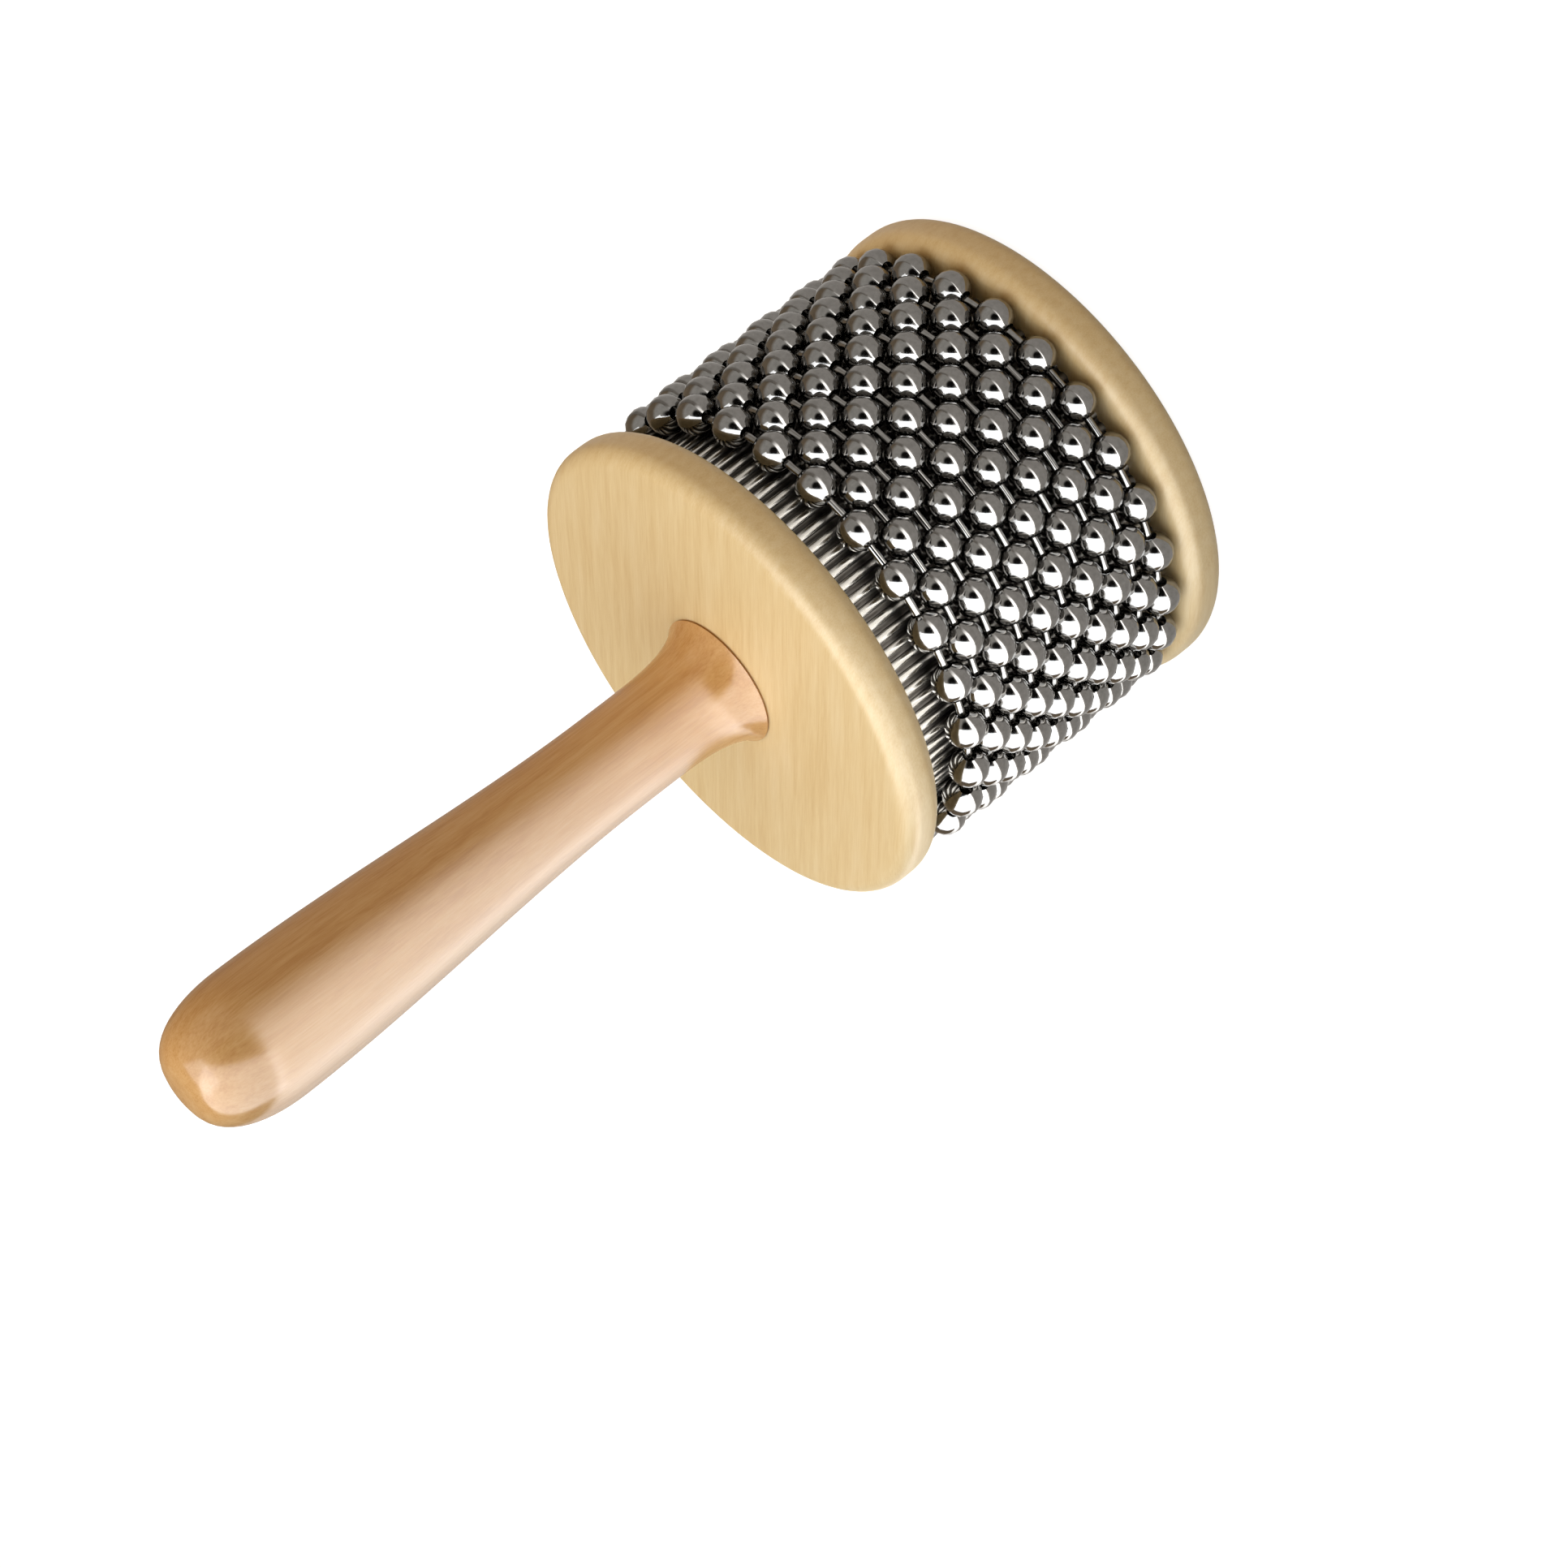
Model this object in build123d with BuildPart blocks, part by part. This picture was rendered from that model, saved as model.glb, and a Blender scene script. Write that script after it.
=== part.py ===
"""Cabasa: a turned wooden handle and a short drum wrapped with loops of steel ball chain.

It stands on the flat face of its rear disc, with the handle up and its axis along Z.
The origin is on that face, at the axis, and the sleeve's seam is on the +Y side.
"""

import os
from math import cos, radians, sin, tan

from build123d import *

# Handle, measured down the axis from its butt end to the front disc
handle_reach = 109.0
butt_cap_length = 20.0
belly_radius = 11.5
butt_round = ((0.05, 0.53), (0.16, 0.73), (0.45, 0.92))  # shares of cap length and belly radius on the dome
waist_radius = 8.3
waist_from_disc = 23.0
collar_radius = 11.5
collar_edge_angle = 52.0

# Tenon on the handle, glued through the front disc and the core
tenon_radius = 7.0
tenon_end_gap = 0.5
glue_gap = 0.05

# End discs
disc_radius = 42.5
disc_thickness = 8.0
disc_edge_radius = 3.0

# Drum between the discs: a wooden core in a ribbed steel sleeve
drum_length = 55.0
sleeve_sheet = 0.5
rib_radius = 0.6
rib_pitch = 2.45
seam_gap = 0.8
seam_land = 4.5
seam_angle = 90.0
cut_depth = 2.0

# Tacks at the two ends of the sleeve strip
tacks_per_side = 3
tack_shank_radius = 0.6
tack_length = 7.0
tack_head_radius = 1.3
tack_head_height = 0.4
tack_end_margin = 8.0
tack_hole_gap = 0.05

# Ball chain: hollow balls on short link pins with a head at each end
loop_count = 10
balls_per_loop = 26
loop_pitch = 4.75
ball_radius = 3.2
ball_wall = 0.4
ball_hole_radius = 0.95
link_radius = 0.7
link_head_radius = 1.2
link_head_gap = 0.1
chain_clearance = 0.3
rim_clearance = 0.3
rear_clearance = 0.4
first_ball_angle = 5.8

# Tie screw and washer in the rear disc
screw_radius = 2.0
screw_grip = 24.0
screw_tip_length = 4.0
screw_head_radius = 4.0
screw_head_height = 2.4
head_round = 1.2
recess_width = 1.0
recess_span = 4.4
recess_depth = 1.3
washer_radius = 6.0
washer_thickness = 1.0
counterbore_gap = 0.3
head_sink = 0.2
screw_hole_gap = 0.2
pilot_gap = 0.02

# Heights above the rear face, on which it stands
drum_bottom_z = disc_thickness
drum_top_z = drum_bottom_z + drum_length
front_face_z = drum_top_z + disc_thickness
butt_z = front_face_z + handle_reach
tenon_end_z = drum_bottom_z + tenon_end_gap

# Radii from the axis, worked inwards from the disc rim
chain_radius = disc_radius - rim_clearance - ball_radius
rib_crest_radius = chain_radius - ball_radius - chain_clearance
sleeve_outer_radius = rib_crest_radius - rib_radius
sleeve_inner_radius = sleeve_outer_radius - sleeve_sheet
core_radius = sleeve_inner_radius - glue_gap
tenon_bore_radius = tenon_radius + glue_gap


def across(z, turn=0.0):
    """Level plane at height z, its local x turned from +X towards +Y."""
    return Plane((0, 0, z), x_dir=(cos(radians(turn)), sin(radians(turn)), 0), z_dir=(0, 0, 1))


def outwards(z, angle, radius):
    """Plane that faces away from the drum axis, at a place on the drum."""
    base = across(z, angle)
    return Plane(base.from_local_coords((radius, 0, 0)), x_dir=(0, 0, 1), z_dir=base.x_dir)


def write(part, name):
    part.label = name
    export_step(part, f"parts/{name}.step")


os.makedirs("parts", exist_ok=True)

# Handle, one turning with its tenon
belly_z = butt_z - butt_cap_length
waist_z = front_face_z + waist_from_disc
collar_slope = (tan(radians(collar_edge_angle)), -1)
dome = [(out * belly_radius, butt_z - down * butt_cap_length) for down, out in butt_round]
pilot_radius = screw_radius + pilot_gap
with BuildPart() as handle:
    with BuildSketch(Plane.XZ):
        with BuildLine():
            Spline((0, butt_z), *dome, (belly_radius, belly_z), tangents=((1, 0), (0, -1)))
            Spline(
                (belly_radius, belly_z),
                (waist_radius, waist_z),
                tangents=((0, -1), (0, -1)),
            )
            Spline(
                (waist_radius, waist_z),
                (collar_radius, front_face_z),
                tangents=((0, -1), collar_slope),
            )
            Polyline(
                (collar_radius, front_face_z),
                (tenon_radius, front_face_z),
                (tenon_radius, tenon_end_z),
                (0, tenon_end_z),
                (0, butt_z),
            )
        make_face()
    revolve(axis=Axis.Z)
    with BuildSketch(across(tenon_end_z)):
        Circle(pilot_radius)
    extrude(amount=screw_grip, mode=Mode.SUBTRACT)
write(handle.part, "handle")

# Front disc, bored for the tenon, with a rounded rim
with BuildPart() as front_disc:
    with BuildSketch(across(drum_top_z)):
        Circle(disc_radius)
        Circle(tenon_bore_radius, mode=Mode.SUBTRACT)
    extrude(amount=disc_thickness)
    front_rim = front_disc.edges().filter_by(GeomType.CIRCLE).sort_by(SortBy.RADIUS)[-2:]
    fillet(front_rim, disc_edge_radius)
write(front_disc.part, "front_disc")

# Rear disc, drilled for the screw and counterbored from below for its head and washer
counterbore_radius = washer_radius + counterbore_gap
washer_seat_z = head_sink + screw_head_height + washer_thickness
with BuildPart() as rear_disc:
    with BuildSketch(across(0)):
        Circle(disc_radius)
        Circle(screw_radius + screw_hole_gap, mode=Mode.SUBTRACT)
    extrude(amount=disc_thickness)
    rear_rim = rear_disc.edges().filter_by(GeomType.CIRCLE).sort_by(SortBy.RADIUS)[-2:]
    fillet(rear_rim, disc_edge_radius)
    with BuildSketch(across(0)):
        Circle(counterbore_radius)
    extrude(amount=washer_seat_z, mode=Mode.SUBTRACT)
write(rear_disc.part, "rear_disc")

# Tacks stand on plain lands either side of the sleeve's seam
land_angle = (seam_gap / 2 + seam_land / 2) / radians(sleeve_outer_radius)
tack_angles = (seam_angle - land_angle, seam_angle + land_angle)
tack_step = (drum_length - 2 * tack_end_margin) / (tacks_per_side - 1)
tack_zs = [drum_bottom_z + tack_end_margin + step * tack_step for step in range(tacks_per_side)]
tack_places = [(z, angle) for z in tack_zs for angle in tack_angles]

# Wooden core, bored for the tenon and drilled for the tacks
with BuildPart() as drum_core:
    with BuildSketch(across(drum_bottom_z)):
        Circle(core_radius)
        Circle(tenon_bore_radius, mode=Mode.SUBTRACT)
    extrude(amount=drum_length)
    for z, angle in tack_places:
        with BuildSketch(outwards(z, angle, sleeve_outer_radius)):
            Circle(tack_shank_radius + tack_hole_gap)
        extrude(amount=-tack_length - tack_hole_gap, mode=Mode.SUBTRACT)
write(drum_core.part, "drum_core")

# Steel sleeve: a strip with half-round ribs along the axis, bent round and open at the seam
land_edge_angle = (seam_gap / 2 + seam_land) / radians(sleeve_outer_radius)
ribbed_angle = 360 - 2 * land_edge_angle
rib_count = int(radians(ribbed_angle) * sleeve_outer_radius / rib_pitch)
with BuildPart() as ribbed_sleeve:
    with BuildSketch(across(drum_bottom_z, seam_angle + land_edge_angle)):
        Circle(sleeve_outer_radius)
        with PolarLocations(sleeve_outer_radius, rib_count + 1, 0, ribbed_angle, endpoint=True):
            Circle(rib_radius)
        Circle(sleeve_inner_radius, mode=Mode.SUBTRACT)
    extrude(amount=drum_length)
    with BuildSketch(across(drum_bottom_z, seam_angle)):
        with Locations((sleeve_outer_radius, 0)):
            Rectangle(cut_depth, seam_gap)
    extrude(amount=drum_length, mode=Mode.SUBTRACT)
    for z, angle in tack_places:
        with BuildSketch(outwards(z, angle, rib_crest_radius)):
            Circle(tack_shank_radius + tack_hole_gap)
        extrude(amount=-cut_depth, mode=Mode.SUBTRACT)
write(ribbed_sleeve.part, "ribbed_sleeve")

# Tacks, with flat heads on the sleeve's lands
with BuildPart() as sleeve_tacks:
    for z, angle in tack_places:
        with BuildSketch(outwards(z, angle, sleeve_outer_radius)):
            Circle(tack_head_radius)
        extrude(amount=tack_head_height)
        with BuildSketch(outwards(z, angle, sleeve_outer_radius)):
            Circle(tack_shank_radius)
        extrude(amount=-tack_length)
write(sleeve_tacks.part, "sleeve_tacks")

# Washer and tie screw
head_seat_z = washer_seat_z - washer_thickness
with BuildPart() as screw_washer:
    with BuildSketch(across(head_seat_z)):
        Circle(washer_radius)
        Circle(screw_radius + screw_hole_gap, mode=Mode.SUBTRACT)
    extrude(amount=washer_thickness)
write(screw_washer.part, "screw_washer")

screw_end_z = tenon_end_z + screw_grip
with BuildPart() as tie_screw:
    with BuildSketch(Plane.XZ):
        with BuildLine():
            Polyline(
                (0, screw_end_z),
                (screw_radius, screw_end_z - screw_tip_length),
                (screw_radius, head_seat_z),
                (screw_head_radius, head_seat_z),
                (screw_head_radius, head_sink),
                (0, head_sink),
                close=True,
            )
        make_face()
    revolve(axis=Axis.Z)
    head_crown = tie_screw.edges().filter_by(GeomType.CIRCLE).sort_by(Axis.Z)[0]
    fillet(head_crown, head_round)
    with BuildSketch(across(head_sink)):
        Rectangle(recess_span, recess_width)
        Rectangle(recess_width, recess_span)
    extrude(amount=recess_depth, mode=Mode.SUBTRACT)
write(tie_screw.part, "tie_screw")

# Ball chain loops, counted up from the rear disc and nested half a ball pitch apart
ball_step = 360 / balls_per_loop
half_chord = chain_radius * sin(radians(ball_step / 2))
first_loop_z = drum_bottom_z + rear_clearance + ball_radius
head_from_ball = ball_radius - ball_wall - link_head_gap - link_head_radius
head_from_middle = half_chord - head_from_ball
link_path_radius = chain_radius * cos(radians(ball_step / 2))

for loop in range(loop_count):
    loop_z = first_loop_z + loop * loop_pitch
    loop_angle = first_ball_angle + ball_step / 2 * (loop % 2)

    with BuildPart(across(loop_z, loop_angle)) as chain_balls:
        with PolarLocations(chain_radius, balls_per_loop):
            Sphere(ball_radius)
        with PolarLocations(chain_radius, balls_per_loop):
            Sphere(ball_radius - ball_wall, mode=Mode.SUBTRACT)
        with PolarLocations(link_path_radius, balls_per_loop, start_angle=ball_step / 2):
            Cylinder(ball_hole_radius, 2 * half_chord, rotation=(90, 0, 0), mode=Mode.SUBTRACT)
    write(chain_balls.part, f"chain_balls_{loop + 1}")

    with BuildPart(across(loop_z, loop_angle + ball_step / 2)) as chain_links:
        with PolarLocations(link_path_radius, balls_per_loop):
            Cylinder(link_radius, 2 * head_from_middle, rotation=(90, 0, 0))
        with PolarLocations(link_path_radius, balls_per_loop):
            with Locations((0, head_from_middle, 0), (0, -head_from_middle, 0)):
                Sphere(link_head_radius)
    write(chain_links.part, f"chain_links_{loop + 1}")

last_loop_z = first_loop_z + (loop_count - 1) * loop_pitch
print("overall length", butt_z, "chain radius", chain_radius, "ribs", rib_count)
print("bare strip of sleeve", drum_top_z - last_loop_z - ball_radius)
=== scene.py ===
"""Cabasa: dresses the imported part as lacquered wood, ribbed steel and nickel plated ball chain.

It stands on its rear disc with the handle up, axis on Z, in metres, as the CAD frame has it.
The sections follow the order in which the instrument is put together.
"""
from math import cos, pi, radians, sin

import bpy
from mathutils import Matrix


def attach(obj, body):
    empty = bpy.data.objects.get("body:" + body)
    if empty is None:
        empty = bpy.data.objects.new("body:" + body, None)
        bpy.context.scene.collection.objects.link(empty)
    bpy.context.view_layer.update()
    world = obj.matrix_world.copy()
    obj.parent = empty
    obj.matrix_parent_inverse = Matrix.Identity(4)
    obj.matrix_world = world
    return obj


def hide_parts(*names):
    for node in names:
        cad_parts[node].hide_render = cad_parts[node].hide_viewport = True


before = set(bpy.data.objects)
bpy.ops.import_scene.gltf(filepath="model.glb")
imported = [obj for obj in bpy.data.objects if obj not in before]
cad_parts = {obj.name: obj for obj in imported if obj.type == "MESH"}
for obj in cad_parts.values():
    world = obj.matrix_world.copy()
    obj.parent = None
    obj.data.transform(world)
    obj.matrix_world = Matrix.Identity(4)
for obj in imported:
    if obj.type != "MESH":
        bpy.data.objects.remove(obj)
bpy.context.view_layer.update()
bpy.ops.object.select_all(action="DESELECT")

# Drum core
# A plain block of softwood, turned round and bored for the handle's tenon. It is raw, and hidden
# by the sleeve and the discs, but for a thin line at the sleeve's seam.


def linear(code):
    """sRGB hex colour as linear RGBA."""
    parts = [int(code[i:i + 2], 16) / 255 for i in (1, 3, 5)]
    return [c / 12.92 if c <= 0.04045 else ((c + 0.055) / 1.055) ** 2.4 for c in parts] + [1.0]


def add(tree, kind, links=(), values=(), stops=(), **settings):
    """Adds a shader node with its settings and links.

    Links are (input, source node, output) and values are (input, constant). Stops are the
    (position, hex colour) pairs of a colour ramp. Settings are the node's own properties.
    """
    made = tree.nodes.new(kind)
    for name, value in settings.items():
        setattr(made, name, value)
    for into, value in values:
        made.inputs[into].default_value = value
    for into, source, out in links:
        tree.links.new(source.outputs[out], made.inputs[into])
    for number, (position, code) in enumerate(stops):
        if number == len(made.color_ramp.elements):
            made.color_ramp.elements.new(position)
        made.color_ramp.elements[number].position = position
        made.color_ramp.elements[number].color = linear(code)
    return made


def new_material(name):
    """Node material, with its tree and its Principled shader."""
    material = bpy.data.materials.new(name)
    material.use_nodes = True
    return material, material.node_tree, material.node_tree.nodes["Principled BSDF"]


def cell(*sizes):
    """Real size of one noise cell along X, Y and Z, from millimetres. A TEXTURE mapping divides by it."""
    return [size / 1000 for size in sizes]


# Raw pine: dull and dry, with pale and tan growth lines along the axis.
core_wood, tree, shader = new_material("raw_pine")
place = add(tree, "ShaderNodeTexCoord")
along = add(tree, "ShaderNodeMapping", [("Vector", place, "Object")],
            [("Scale", cell(0.667, 0.667, 16.7))], vector_type="TEXTURE")
grain = add(tree, "ShaderNodeTexNoise", [("Vector", along, "Vector")], [("Scale", 1.0), ("Detail", 4.0)])
tone = add(tree, "ShaderNodeValToRGB", [("Fac", grain, "Fac")], stops=[(0.35, "#b98f5c"), (0.65, "#d8b682")])
tree.links.new(tone.outputs["Color"], shader.inputs["Base Color"])
shader.inputs["Roughness"].default_value = 0.75
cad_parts["drum_core"].data.materials.clear()
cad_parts["drum_core"].data.materials.append(core_wood)

# Sleeve
# A strip of thin steel sheet, rolled with round ribs along the axis and bent round the core.
# Its two plain ends are tacked to the core and meet at a seam on the far side.

drum_low = 0.008
drum_high = 0.063
sheet = 0.0004
land_radius = 0.0349
valley_radius = 0.0348
rib_half_width = 0.0008
rib_height = 0.0006
crest_radius = land_radius + rib_height
rib_count = 86
rib_sides = 8
seam = radians(90)
seam_edge = 0.0004 / land_radius
land_edge = 0.0049 / land_radius
land_sides = 6
rib_step = (2 * pi - 2 * land_edge) / (rib_count - 1)


def around(radius, angle):
    """Point at the drum's lower end."""
    return radius * cos(angle), radius * sin(angle), drum_low


def line(name, points):
    """Starts a piece as a line in edit mode: a small plane merged to a point, then extruded on."""
    bpy.ops.mesh.primitive_plane_add(size=0.001, location=points[0])
    piece = bpy.context.object
    piece.name = name
    bpy.ops.object.mode_set(mode="EDIT")
    bpy.ops.mesh.select_mode(type="VERT")
    bpy.ops.mesh.select_all(action="SELECT")
    bpy.ops.mesh.merge(type="CENTER")
    for here, there in zip(points, points[1:]):
        move = [b - a for a, b in zip(here, there)]
        bpy.ops.mesh.extrude_region_move(TRANSFORM_OT_translate={"value": move})
    bpy.ops.mesh.select_all(action="SELECT")
    return piece


def strip(name, points):
    """Pulls a line at the drum's lower end up to its top, and stays in edit mode."""
    piece = line(name, points)
    bpy.ops.mesh.extrude_region_move(TRANSFORM_OT_translate={"value": (0, 0, drum_high - drum_low)})
    bpy.ops.mesh.select_all(action="SELECT")
    return piece


first_rib = seam + land_edge
rib_points = []
for step in range(rib_sides + 1):
    a = radians(180 * step / rib_sides)
    aside = -rib_half_width * cos(a) / land_radius
    rib_points.append(around(land_radius + rib_height * sin(a), first_rib + aside))
rib_points.append(around(valley_radius, first_rib + 0.5 * rib_step))
rib_points.append(around(land_radius, first_rib + rib_step - rib_half_width / land_radius))
ribs = strip("ribbed_sleeve_strip", rib_points)
bpy.ops.mesh.spin(
    steps=rib_count - 1, angle=-rib_step * (rib_count - 1), dupli=True, center=(0, 0, 0), axis=(0, 0, 1),
)
bpy.ops.object.mode_set(mode="OBJECT")
bpy.ops.object.transform_apply(location=True)
lands = []
for side in (1, -1):
    places = [seam_edge + (land_edge - seam_edge) * step / land_sides for step in range(land_sides + 1)]
    land = strip("land", [around(land_radius, seam + side * angle) for angle in places])
    bpy.ops.object.mode_set(mode="OBJECT")
    bpy.ops.object.transform_apply(location=True)
    lands.append(land)
for piece in lands + [ribs]:
    piece.select_set(True)
bpy.context.view_layer.objects.active = ribs
bpy.ops.object.join()
bpy.ops.object.mode_set(mode="EDIT")
bpy.ops.mesh.select_all(action="SELECT")
bpy.ops.mesh.remove_doubles(threshold=2e-5)
bpy.ops.mesh.normals_make_consistent(inside=False)
bpy.ops.object.mode_set(mode="OBJECT")
wall = ribs.modifiers.new("wall", "SOLIDIFY")
wall.thickness = sheet
wall.offset = -1.0
bpy.ops.object.modifier_apply(modifier="wall")
bpy.ops.object.shade_smooth_by_angle(angle=radians(50))
bpy.ops.object.select_all(action="DESELECT")

# Rolled steel sheet with rubbed patches. It is lighter on the rib crests and darker in the valleys as
# painted highlight and painted shade, and darker again under the chain as painted shade.
painted_chain_shade_top = 0.0576
painted_chain_shade_edge = 0.002
painted_chain_shade_tone = 0.65
rub_share = 0.4
sleeve_steel, tree, shader = new_material("rolled_steel_sheet")
place = add(tree, "ShaderNodeTexCoord")
flat = add(tree, "ShaderNodeVectorMath", [(0, place, "Object")], [(1, (1, 1, 0))], operation="MULTIPLY")
reach = add(tree, "ShaderNodeVectorMath", [(0, flat, "Vector")], operation="LENGTH")
# Painted highlight and shade: the colour runs lighter towards the rib crests and darker into the valleys.
crest = add(tree, "ShaderNodeMapRange", [("Value", reach, "Value")],
            [("From Min", valley_radius), ("From Max", crest_radius)])
along = add(tree, "ShaderNodeMapping", [("Vector", place, "Object")], [("Scale", cell(0.5, 0.5, 3.33))],
            vector_type="TEXTURE")
rub = add(tree, "ShaderNodeTexNoise", [("Vector", along, "Vector")], [("Scale", 1.0), ("Detail", 3.0)])
wear_and_painted_crest_light = add(tree, "ShaderNodeMath", [(0, rub, "Fac"), (2, crest, "Result")], [(1, rub_share)],
           operation="MULTIPLY_ADD")
height = add(tree, "ShaderNodeSeparateXYZ", [("Vector", place, "Object")])
# Painted shade under the chain: the sleeve is darker below the top of the last loop.
painted_chain_shade = add(tree, "ShaderNodeMapRange", [("Value", height, "Z")],
           [("From Min", painted_chain_shade_top - painted_chain_shade_edge), ("From Max", painted_chain_shade_top), ("To Min", painted_chain_shade_tone)])
wear_and_painted_light = add(tree, "ShaderNodeMath", [(0, wear_and_painted_crest_light, "Value"), (1, painted_chain_shade, "Result")], operation="MULTIPLY")
# The ramp's dark end holds the painted shade, and its light end the painted highlight on the crests.
tone = add(tree, "ShaderNodeValToRGB", [("Fac", wear_and_painted_light, "Value")],
           stops=[(0.15, "#2a2622"), (0.6, "#6a6660"), (1.0, "#c9c5bd")])
tree.links.new(tone.outputs["Color"], shader.inputs["Base Color"])
dull = add(tree, "ShaderNodeMapRange", [("Value", wear_and_painted_light, "Value")], [("To Min", 0.55), ("To Max", 0.2)])
tree.links.new(dull.outputs["Result"], shader.inputs["Roughness"])
shader.inputs["Metallic"].default_value = 1.0


def finish_piece(piece, material, body, slot, *nodes):
    """Gives a piece its material and body, and hides the CAD nodes that it stands for. The slot is not used.
    """
    piece.data.materials.append(material)
    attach(piece, body)
    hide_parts(*nodes)


finish_piece(ribs, sleeve_steel, "drum", "sleeve_steel", "ribbed_sleeve")

# Tacks, washer and tie screw
# Small zinc plated steel fasteners: tacks along the sleeve's seam, and a cross-head screw on a
# washer, sunk in the rear disc, that pulls the discs and core together on the handle's tenon.

# Zinc plated steel: a soft grey shine with faint lighter blotches.
fastener_steel, tree, shader = new_material("zinc_plated_steel")
place = add(tree, "ShaderNodeTexCoord")
across = add(tree, "ShaderNodeMapping", [("Vector", place, "Object")], [("Scale", cell(0.4, 0.4, 0.4))],
             vector_type="TEXTURE")
spots = add(tree, "ShaderNodeTexNoise", [("Vector", across, "Vector")], [("Scale", 1.0), ("Detail", 3.0)])
tone = add(tree, "ShaderNodeValToRGB", [("Fac", spots, "Fac")], stops=[(0.35, "#a9abad"), (0.65, "#c9cacb")])
tree.links.new(tone.outputs["Color"], shader.inputs["Base Color"])
shader.inputs["Metallic"].default_value = 1.0
shader.inputs["Roughness"].default_value = 0.32
for name in ("sleeve_tacks", "screw_washer", "tie_screw"):
    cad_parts[name].data.materials.clear()
    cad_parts[name].data.materials.append(fastener_steel)

# End discs
# Two like turnings of pale, straight-grained hardwood with round rims, clear lacquered.
# The front one is bored for the tenon, the rear one drilled and counterbored for the screw.


def turned(name, outline, steps):
    """Turns a closed outline of (radius, height) points round Z, as on a lathe."""
    piece = line(name, [(radius, 0, height) for radius, height in outline])
    bpy.ops.mesh.spin(steps=steps, angle=2 * pi, center=(0, 0, 0), axis=(0, 0, 1))
    bpy.ops.mesh.select_all(action="SELECT")
    bpy.ops.mesh.remove_doubles(threshold=1e-6)
    bpy.ops.mesh.normals_make_consistent(inside=False)
    bpy.ops.object.mode_set(mode="OBJECT")
    bpy.ops.object.transform_apply(location=True)
    bpy.ops.object.shade_smooth_by_angle(angle=radians(40))
    bpy.ops.object.select_all(action="DESELECT")
    return piece


disc_radius = 0.0425
disc_thickness = 0.008
disc_steps = 128
inner_ring = 0.025
rim_round = 0.003
rim_steps = 8


def rim(low):
    """Rounded rim of a disc, from its lower face to its upper face."""
    high = low + disc_thickness
    inner = disc_radius - rim_round
    angles = [radians(90 * step / rim_steps) for step in range(rim_steps + 1)]
    under = [(inner + rim_round * sin(a), low + rim_round - rim_round * cos(a)) for a in angles]
    over = [(inner + rim_round * cos(a), high - rim_round + rim_round * sin(a)) for a in angles]
    return under + over


# Lacquered maple: pale and even, with fine straight grain under a thin satin coat.
# The real pores are too fine to show, so they are drawn coarser, 0.18 mm wide.
grain_turn = radians(-64)
disc_wood, tree, shader = new_material("lacquered_maple")
place = add(tree, "ShaderNodeTexCoord")
pores = add(tree, "ShaderNodeMapping", [("Vector", place, "Object")],
            [("Scale", cell(5.714, 0.1818, 0.2857)), ("Rotation", (0, 0, grain_turn))],
            vector_type="TEXTURE")
fine = add(tree, "ShaderNodeTexNoise", [("Vector", pores, "Vector")],
           [("Scale", 1.0), ("Detail", 5.0), ("Roughness", 0.6)])
streaks = add(tree, "ShaderNodeMapping", [("Vector", place, "Object")],
              [("Scale", cell(22.22, 1.25, 1.667)), ("Rotation", (0, 0, grain_turn))],
              vector_type="TEXTURE")
figure = add(tree, "ShaderNodeTexNoise", [("Vector", streaks, "Vector")], [("Scale", 1.0), ("Detail", 3.0)])
mixed = add(tree, "ShaderNodeMath", [(0, fine, "Fac"), (1, figure, "Fac")], operation="ADD")
mean = add(tree, "ShaderNodeMath", [(0, mixed, "Value")], [(1, 0.5)], operation="MULTIPLY")
tone = add(tree, "ShaderNodeValToRGB", [("Fac", mean, "Value")],
           stops=[(0.34, "#d9bc85"), (0.5, "#e1c894"), (0.66, "#e7d1a3")])
tree.links.new(tone.outputs["Color"], shader.inputs["Base Color"])
bump = add(tree, "ShaderNodeBump", [("Height", fine, "Fac")], [("Strength", 0.04), ("Distance", 0.0003)])
tree.links.new(bump.outputs["Normal"], shader.inputs["Normal"])
shader.inputs["Roughness"].default_value = 0.5
shader.inputs["Specular IOR Level"].default_value = 0.35
shader.inputs["Coat Weight"].default_value = 0.35
shader.inputs["Coat Roughness"].default_value = 0.35

front_low = 0.063
tenon_bore = 0.00705
front_disc = turned(
    "front_disc_turning",
    [(tenon_bore, front_low + disc_thickness), (tenon_bore, front_low)]
    + rim(front_low)
    + [(inner_ring, front_low + disc_thickness), (tenon_bore, front_low + disc_thickness)],
    disc_steps,
)
finish_piece(front_disc, disc_wood, "drum", "disc_wood", "front_disc")

screw_bore = 0.0022
counterbore = 0.0063
counterbore_chamfer = 0.0004
washer_seat = 0.0036
rear_disc = turned(
    "rear_disc_turning",
    [(screw_bore, disc_thickness), (screw_bore, washer_seat), (counterbore, washer_seat)]
    + [(counterbore, counterbore_chamfer), (counterbore + counterbore_chamfer, 0.0)]
    + rim(0.0)
    + [(inner_ring, disc_thickness), (screw_bore, disc_thickness)],
    disc_steps,
)
finish_piece(rear_disc, disc_wood, "drum", "disc_wood", "rear_disc")

# Handle
# One turning of beech with its tenon: round butt, full belly, slim waist and a flared collar
# that sits on the front disc. Clear lacquered, glued through the disc and the core.

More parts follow.
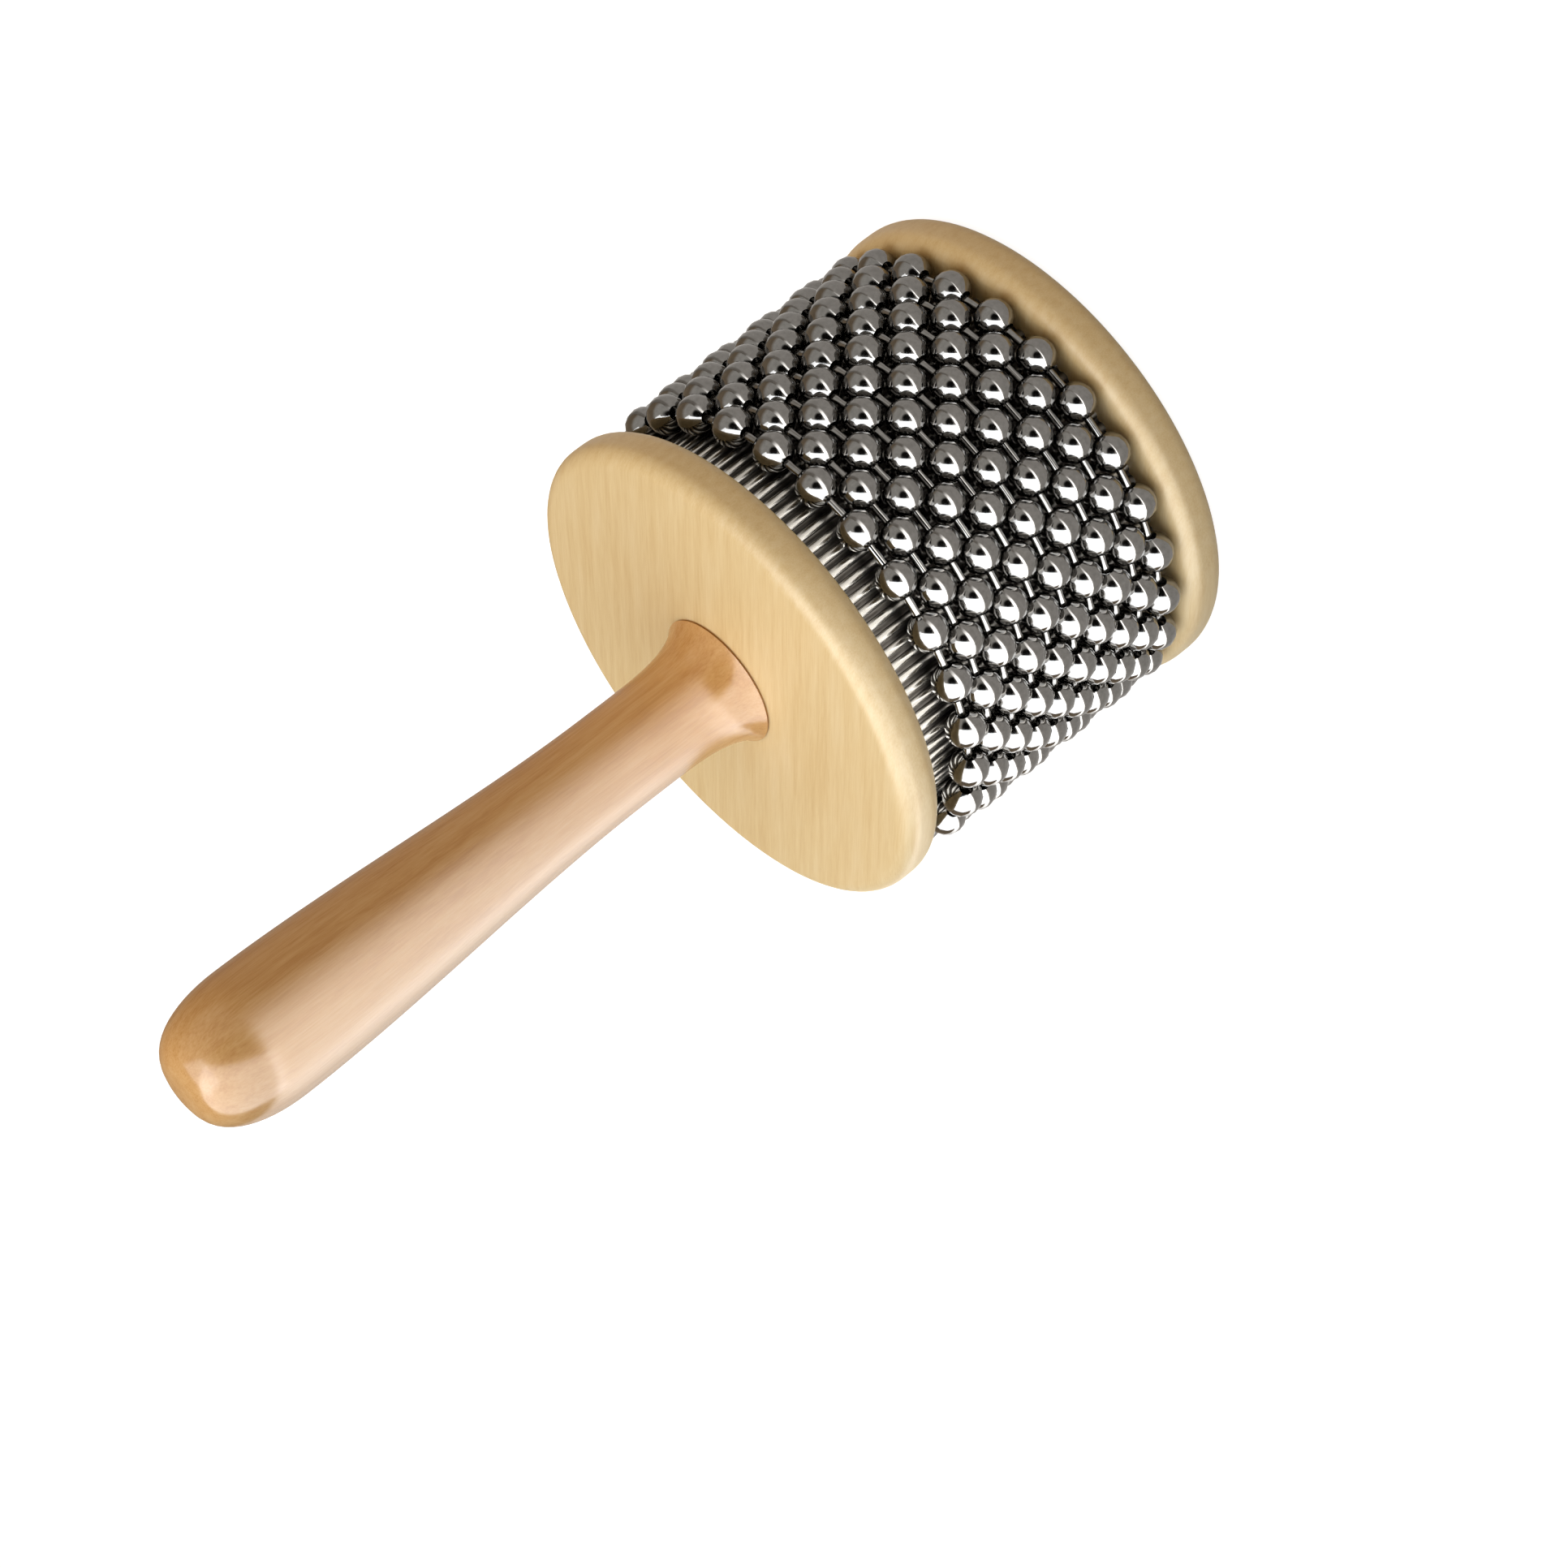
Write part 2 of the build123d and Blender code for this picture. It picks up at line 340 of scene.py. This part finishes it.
butt = 0.180
cap_length = 0.015
cap_fullness = 0.6
cap_steps = 16
belly_radius = 0.0115
waist_radius = 0.0083
waist_from_disc = 0.023
body_steps = 32
collar_radius = 0.0115
flare_power = 5
flare_steps = 16
joint_depth = 0.0006
joint_height = 0.0004
front_face = 0.071
tenon_radius = 0.007
tenon_end = 0.0085
handle_steps = 96
belly = butt - cap_length
waist = front_face + waist_from_disc

cap = []
for step in range(cap_steps + 1):
    a = radians(90 * step / cap_steps)
    cap.append((belly_radius * sin(a) ** cap_fullness, butt - cap_length * (1 - cos(a))))
body = []
for step in range(1, body_steps + 1):
    t = step / body_steps
    ease = t * t * (3 - 2 * t)
    body.append((belly_radius + (waist_radius - belly_radius) * ease, belly + (waist - belly) * t))
flare = []
for step in range(1, flare_steps):
    t = step / flare_steps
    widened = (collar_radius - waist_radius) * t ** flare_power
    flare.append((waist_radius + widened, waist + (front_face - waist) * t))
flare.append((collar_radius, front_face + joint_height))
joint = [(collar_radius - joint_depth, front_face + joint_height), (collar_radius - joint_depth, front_face)]
tenon = [(tenon_radius, front_face), (tenon_radius, tenon_end), (0.0, tenon_end)]
handle = turned("handle_turning", cap + body + flare + joint + tenon, handle_steps)

# Lacquered beech: warm tan with streaks along the handle, under a full coat that mirrors the floor's painted
# pool of light as a pale sheen down one side. The real flecks are finer, and are drawn 0.29 mm wide to show.
handle_wood, tree, shader = new_material("lacquered_beech")
place = add(tree, "ShaderNodeTexCoord")
flecks = add(tree, "ShaderNodeMapping", [("Vector", place, "Object")],
             [("Scale", cell(0.2857, 0.2857, 6.667))], vector_type="TEXTURE")
fine = add(tree, "ShaderNodeTexNoise", [("Vector", flecks, "Vector")],
           [("Scale", 1.0), ("Detail", 5.0), ("Roughness", 0.6)])
streaks = add(tree, "ShaderNodeMapping", [("Vector", place, "Object")],
              [("Scale", cell(1.818, 1.818, 28.57))], vector_type="TEXTURE")
figure = add(tree, "ShaderNodeTexNoise", [("Vector", streaks, "Vector")], [("Scale", 1.0), ("Detail", 3.0)])
mixed = add(tree, "ShaderNodeMath", [(0, fine, "Fac"), (1, figure, "Fac")], operation="ADD")
mean = add(tree, "ShaderNodeMath", [(0, mixed, "Value")], [(1, 0.5)], operation="MULTIPLY")
tone = add(tree, "ShaderNodeValToRGB", [("Fac", mean, "Value")],
           stops=[(0.36, "#c69459"), (0.5, "#d2a469"), (0.64, "#dab07a")])
tree.links.new(tone.outputs["Color"], shader.inputs["Base Color"])
bump = add(tree, "ShaderNodeBump", [("Height", fine, "Fac")], [("Strength", 0.04), ("Distance", 0.0003)])
tree.links.new(bump.outputs["Normal"], shader.inputs["Normal"])
shader.inputs["Roughness"].default_value = 0.38
shader.inputs["Specular IOR Level"].default_value = 0.0
shader.inputs["Coat Weight"].default_value = 1.0
shader.inputs["Coat Roughness"].default_value = 0.2
finish_piece(handle, handle_wood, "drum", "handle_wood", "handle")

# Ball chain
# Ten loops of nickel plated steel ball chain, loose round the sleeve, nested half a ball apart.
# Each ball is pressed from thin sheet round the heads of two short link pins.

loop_count = 10
balls_per_loop = 26
ball_radius = 0.0033
ball_hole = 0.98
lip_across = 0.84
lip_along = 0.9
chain_radius = 0.039
loop_pitch = 0.00475
first_loop = 0.0116
first_ball_angle = radians(5.8)
ball_step = 2 * pi / balls_per_loop
link_radius = 0.0007
link_inset = 0.8
link_path = chain_radius * cos(ball_step / 2)
link_length = 2 * (chain_radius * sin(ball_step / 2) - link_inset * ball_radius)

# Black nickel plated steel: a dark grey mirror, clouded a little where it has rubbed.
chain_steel, tree, shader = new_material("black_nickel_plated_steel")
place = add(tree, "ShaderNodeTexCoord")
across = add(tree, "ShaderNodeMapping", [("Vector", place, "Object")],
             [("Scale", cell(0.769, 0.769, 0.769))], vector_type="TEXTURE")
wear = add(tree, "ShaderNodeTexNoise", [("Vector", across, "Vector")], [("Scale", 1.0), ("Detail", 3.0)])
tone = add(tree, "ShaderNodeValToRGB", [("Fac", wear, "Fac")], stops=[(0.3, "#7f7d7a"), (0.7, "#8d8b88")])
tree.links.new(tone.outputs["Color"], shader.inputs["Base Color"])
dull = add(tree, "ShaderNodeMapRange", [("Value", wear, "Fac")], [("To Min", 0.07), ("To Max", 0.15)])
tree.links.new(dull.outputs["Result"], shader.inputs["Roughness"])
shader.inputs["Metallic"].default_value = 1.0

bpy.ops.mesh.primitive_cylinder_add(
    vertices=8, radius=link_radius, depth=link_length, end_fill_type="NOTHING",
    location=(link_path * cos(ball_step / 2), link_path * sin(ball_step / 2), 0),
    rotation=(pi / 2, 0, ball_step / 2),
)
link = bpy.context.object
bpy.ops.object.transform_apply(location=True, rotation=True)
bpy.ops.mesh.primitive_uv_sphere_add(
    segments=16, ring_count=9, radius=ball_radius, location=(chain_radius, 0, 0), rotation=(pi / 2, 0, 0),
)
ball = bpy.context.object
bpy.ops.object.mode_set(mode="EDIT")
bpy.ops.mesh.select_all(action="DESELECT")
bpy.ops.object.mode_set(mode="OBJECT")
for corner in ball.data.vertices:
    corner.select = abs(corner.co.z) > ball_hole * ball_radius
bpy.ops.object.mode_set(mode="EDIT")
bpy.ops.mesh.select_mode(type="VERT")
bpy.ops.mesh.delete(type="VERT")
bpy.ops.mesh.select_all(action="SELECT")
bpy.ops.mesh.region_to_loop()
bpy.ops.mesh.extrude_region_move()
bpy.ops.transform.resize(value=(lip_across, lip_along, lip_across), center_override=(chain_radius, 0, 0))
bpy.ops.object.mode_set(mode="OBJECT")
bpy.ops.object.transform_apply(location=True, rotation=True)
link.select_set(True)
bpy.ops.object.join()
bpy.ops.object.mode_set(mode="EDIT")
bpy.ops.mesh.select_all(action="SELECT")
bpy.ops.mesh.spin(
    steps=balls_per_loop - 1, angle=2 * pi - ball_step, dupli=True, center=(0, 0, 0), axis=(0, 0, 1),
)
bpy.ops.mesh.select_all(action="SELECT")
bpy.ops.mesh.remove_doubles(threshold=1e-6)
bpy.ops.mesh.normals_make_consistent(inside=False)
bpy.ops.object.mode_set(mode="OBJECT")
bpy.ops.object.shade_smooth_by_angle(angle=radians(60))

loops = [ball]
while len(loops) < loop_count:
    bpy.ops.object.duplicate()
    loops.append(bpy.context.object)
for number, loop in enumerate(loops):
    bpy.ops.object.select_all(action="DESELECT")
    loop.select_set(True)
    bpy.context.view_layer.objects.active = loop
    loop.name = f"chain_loop_{number + 1}_chain"
    loop.location.z = first_loop + number * loop_pitch
    loop.rotation_euler.z = first_ball_angle + ball_step / 2 * (number % 2)
    bpy.ops.object.transform_apply(location=True, rotation=True)
    finish_piece(
        loop, chain_steel, f"chain_loop_{number + 1}", "chain_steel",
        f"chain_balls_{number + 1}", f"chain_links_{number + 1}",
    )
bpy.ops.object.select_all(action="DESELECT")

# Floor, light and camera
# A pale studio floor, white to the camera. In reflections alone it glows as a painted pool of light, dim
# near the part and bright further off on the -X side, below a large window; the painted pool and the window
# give the lacquer its sheen and the balls their white patches. Soft light falls from above, warmer from +X.
# The camera is turned on its side.

white_lift = 0.92
painted_glow_near = 0.35
painted_glow_dim = 0.05
painted_glow_bright = 9.0
pool_start = 0.17
pool_full = 0.25
pool_side = (-0.927, -0.375, 0)
pool_fade = -0.5
pool_back_full = 0.1
pool_back = 0.85
pool_back_dim = 0.3
bpy.ops.mesh.primitive_plane_add(size=8.0, location=(0, 0, -0.0002))
floor = bpy.context.object
floor.name = "floor"
# Painted floor: plain, pale and matt, so that it takes a soft shadow and no shine.
floor_paint, tree, shader = new_material("painted_studio_floor")
shader.inputs["Base Color"].default_value = linear("#a9a7a4")
shader.inputs["Roughness"].default_value = 0.9
shader.inputs["Specular IOR Level"].default_value = 0.0
# Emission: white for the camera, and for reflections only a painted pool of light that glows with no lamp
# there, dim near the part and brightest off towards -X.
path = add(tree, "ShaderNodeLightPath")
place = add(tree, "ShaderNodeTexCoord")
away = add(tree, "ShaderNodeVectorMath", [(0, place, "Object")], operation="LENGTH")
beyond = add(tree, "ShaderNodeMapRange", [("Value", away, "Value")],
             [("From Min", pool_start), ("From Max", pool_full)], interpolation_type="SMOOTHSTEP")
heading = add(tree, "ShaderNodeVectorMath", [(0, place, "Object")], operation="NORMALIZE")
leftward = add(tree, "ShaderNodeVectorMath", [(0, heading, "Vector")], [(1, pool_side)],
               operation="DOT_PRODUCT")
painted_glow_side = add(tree, "ShaderNodeMapRange", [("Value", leftward, "Value")],
               [("From Min", pool_fade), ("From Max", 1.0), ("To Min", painted_glow_dim), ("To Max", painted_glow_bright)],
               interpolation_type="SMOOTHSTEP")
compass = add(tree, "ShaderNodeSeparateXYZ", [("Vector", heading, "Vector")])
behind = add(tree, "ShaderNodeMapRange", [("Value", compass, "Y")],
             [("From Min", pool_back_full), ("From Max", pool_back), ("To Min", 1.0),
              ("To Max", pool_back_dim)],
             interpolation_type="SMOOTHSTEP")
far_pool = add(tree, "ShaderNodeMath", [(0, painted_glow_side, "Result"), (1, behind, "Result")],
               operation="MULTIPLY")
pool = add(tree, "ShaderNodeMapRange", [("Value", beyond, "Result"), ("To Max", far_pool, "Value")],
           [("To Min", painted_glow_near)])
mirrored = add(tree, "ShaderNodeMath", [(0, path, "Is Glossy Ray"), (1, path, "Is Transmission Ray")],
               operation="MAXIMUM")
shown = add(tree, "ShaderNodeMath", [(0, mirrored, "Value"), (1, pool, "Result")], operation="MULTIPLY")
lift = add(tree, "ShaderNodeMath", [(0, path, "Is Camera Ray"), (2, shown, "Value")], [(1, white_lift)],
           operation="MULTIPLY_ADD")
shader.inputs["Emission Color"].default_value = linear("#ffffff")
tree.links.new(lift.outputs["Value"], shader.inputs["Emission Strength"])
floor.data.materials.append(floor_paint)

# The room: soft light that is warmer from +X. Reflections see grey walls and a dark patch in front,
# and the camera sees white. A colour Mix node's sockets share names, so they go by number.
room_front = (0, -0.924, 0.383)
factor, first, second, result = 0, 6, 7, 2
world = bpy.data.worlds.new("studio")
bpy.context.scene.world = world
world.use_nodes = True
tree = world.node_tree
room = tree.nodes["Background"]
toward = add(tree, "ShaderNodeTexCoord")
way = add(tree, "ShaderNodeSeparateXYZ", [("Vector", toward, "Generated")])
sideways = add(tree, "ShaderNodeMapRange", [("Value", way, "X")], [("From Min", -1.0), ("From Max", 1.0)])
warm = add(tree, "ShaderNodeValToRGB", [("Fac", sideways, "Result")],
           stops=[(0.0, "#b0b1b3"), (0.5, "#b2a48e"), (1.0, "#c59b66")])
facing = add(tree, "ShaderNodeVectorMath", [(0, toward, "Generated")], [(1, room_front)],
             operation="DOT_PRODUCT")
walls = add(tree, "ShaderNodeValToRGB", [("Fac", facing, "Value")],
            stops=[(0.0, "#a08e78"), (0.35, "#e2dfda"), (0.88, "#e2dfda"), (0.95, "#141210")])
path = add(tree, "ShaderNodeLightPath")
sight = add(tree, "ShaderNodeMix", data_type="RGBA",
            links=[(factor, path, "Is Glossy Ray"), (first, warm, "Color"), (second, walls, "Color")])
backdrop = add(tree, "ShaderNodeMix", data_type="RGBA", values=[(second, linear("#ffffff"))],
               links=[(factor, path, "Is Camera Ray"), (first, sight, result)])
tree.links.new(backdrop.outputs[result], room.inputs["Color"])
room.inputs["Strength"].default_value = 1.0

lamp_colour = linear("#f3f8ff")[:3]
lamp_aim = (0, 0, 0.07)


def lamp(name, turn, height, distance, width, depth, power):
    """Soft lamp that faces the drum, turned from the front towards +X and raised, in degrees."""
    light = bpy.data.lights.new(name, "AREA")
    light.shape = "RECTANGLE"
    light.size = width
    light.size_y = depth
    light.energy = power
    light.color = lamp_colour
    holder = bpy.data.objects.new(name, light)
    bpy.context.collection.objects.link(holder)
    aim = Matrix.Translation(lamp_aim) @ Matrix.Rotation(radians(turn), 4, "Z")
    tilt = Matrix.Rotation(radians(90 - height), 4, "X")
    holder.matrix_world = aim @ tilt @ Matrix.Translation((0, 0, distance))
    return holder


lamp("key", turn=-68, height=42, distance=1.1, width=1.6, depth=1.6, power=2.0)
lamp("top", turn=0, height=80, distance=1.2, width=1.0, depth=1.0, power=10.0)
window = lamp("window", turn=-68, height=42, distance=1.12, width=2.2, depth=2.4, power=90.0)
window.visible_diffuse = False

camera_place = (-0.0192, -0.63816, 0.33827)
camera_down = radians(22.544)
camera_roll = radians(-128.228)
lens = bpy.data.cameras.new("camera")
lens.sensor_width = 36.0
lens.lens = 100.8
camera = bpy.data.objects.new("camera", lens)
bpy.context.collection.objects.link(camera)
camera.matrix_world = (
    Matrix.Translation(camera_place)
    @ Matrix.Rotation(pi / 2 - camera_down, 4, "X")
    @ Matrix.Rotation(camera_roll, 4, "Z")
)
bpy.context.scene.camera = camera
bpy.context.scene.view_settings.view_transform = "Standard"
